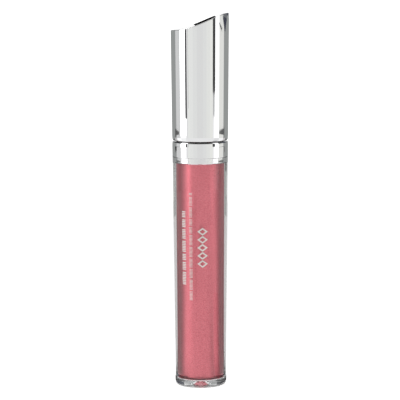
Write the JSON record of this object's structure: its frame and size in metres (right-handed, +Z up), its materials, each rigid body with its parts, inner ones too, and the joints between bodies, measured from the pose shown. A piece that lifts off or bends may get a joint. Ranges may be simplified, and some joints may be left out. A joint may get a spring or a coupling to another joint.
{
  "type": "lip gloss tube",
  "caption": "Slim tapered clear tube of pink gloss with a chromed collar and a slant-topped screw cap that carries a flocked applicator wand.",
  "frame": {"origin": "centre of the foot that the tube stands on", "axes": "+Z up along the tube's axis, +X towards the high side of the slanted top, -Y towards the front"},
  "size_m": [0.0176, 0.0176, 0.1133],
  "materials": {
    "clear_plastic": "thick clear moulded plastic, polished",
    "plug_plastic": "clear moulded plastic, polished",
    "pink_gloss": "pearly rose-pink gloss with a fine shimmer",
    "wiper_plastic": "soft translucent moulded plastic",
    "collar_chrome": "bright mirror chrome",
    "gasket_foam": "soft closed foam",
    "weight_steel": "turned steel",
    "cap_chrome": "bright mirror chrome",
    "liner_plastic": "white moulded plastic",
    "stem_plastic": "natural white moulded plastic",
    "tip_flock": "short dense flock, stained by the gloss"
  },
  "bodies": {
    "bottle": {"bottle": "clear_plastic", "base_plug": "plug_plastic", "gloss_fill": "pink_gloss", "wiper": "wiper_plastic", "collar": "collar_chrome"},
    "seal": {"cap_gasket": "gasket_foam"},
    "weight": {"cap_weight": "weight_steel"},
    "cap": {"cap_shell": "cap_chrome", "cap_liner": "liner_plastic", "wand_stem": "stem_plastic", "applicator_tip": "tip_flock"}
  },
  "joints": [
    {"name": "cap_pull", "type": "slide", "parent": "bottle", "child": "seal", "axis": [0, 0, 1], "range_m": [0, 0.082], "deforming": ["wiper"]},
    {"name": "cap_rise", "type": "slide", "parent": "seal", "child": "weight", "axis": [0, 0, 1], "range_m": [0, 0.00325]},
    {"name": "cap_twist", "type": "hinge", "parent": "weight", "child": "cap", "pos_m": [0, 0, 0.0751], "axis": [0, 0, 1], "range_deg": [0, 450]}
  ],
  "couplings": [
    {"joint": "cap_rise", "follows": "cap_twist", "m_per_rad": 0.00039789}
  ]
}
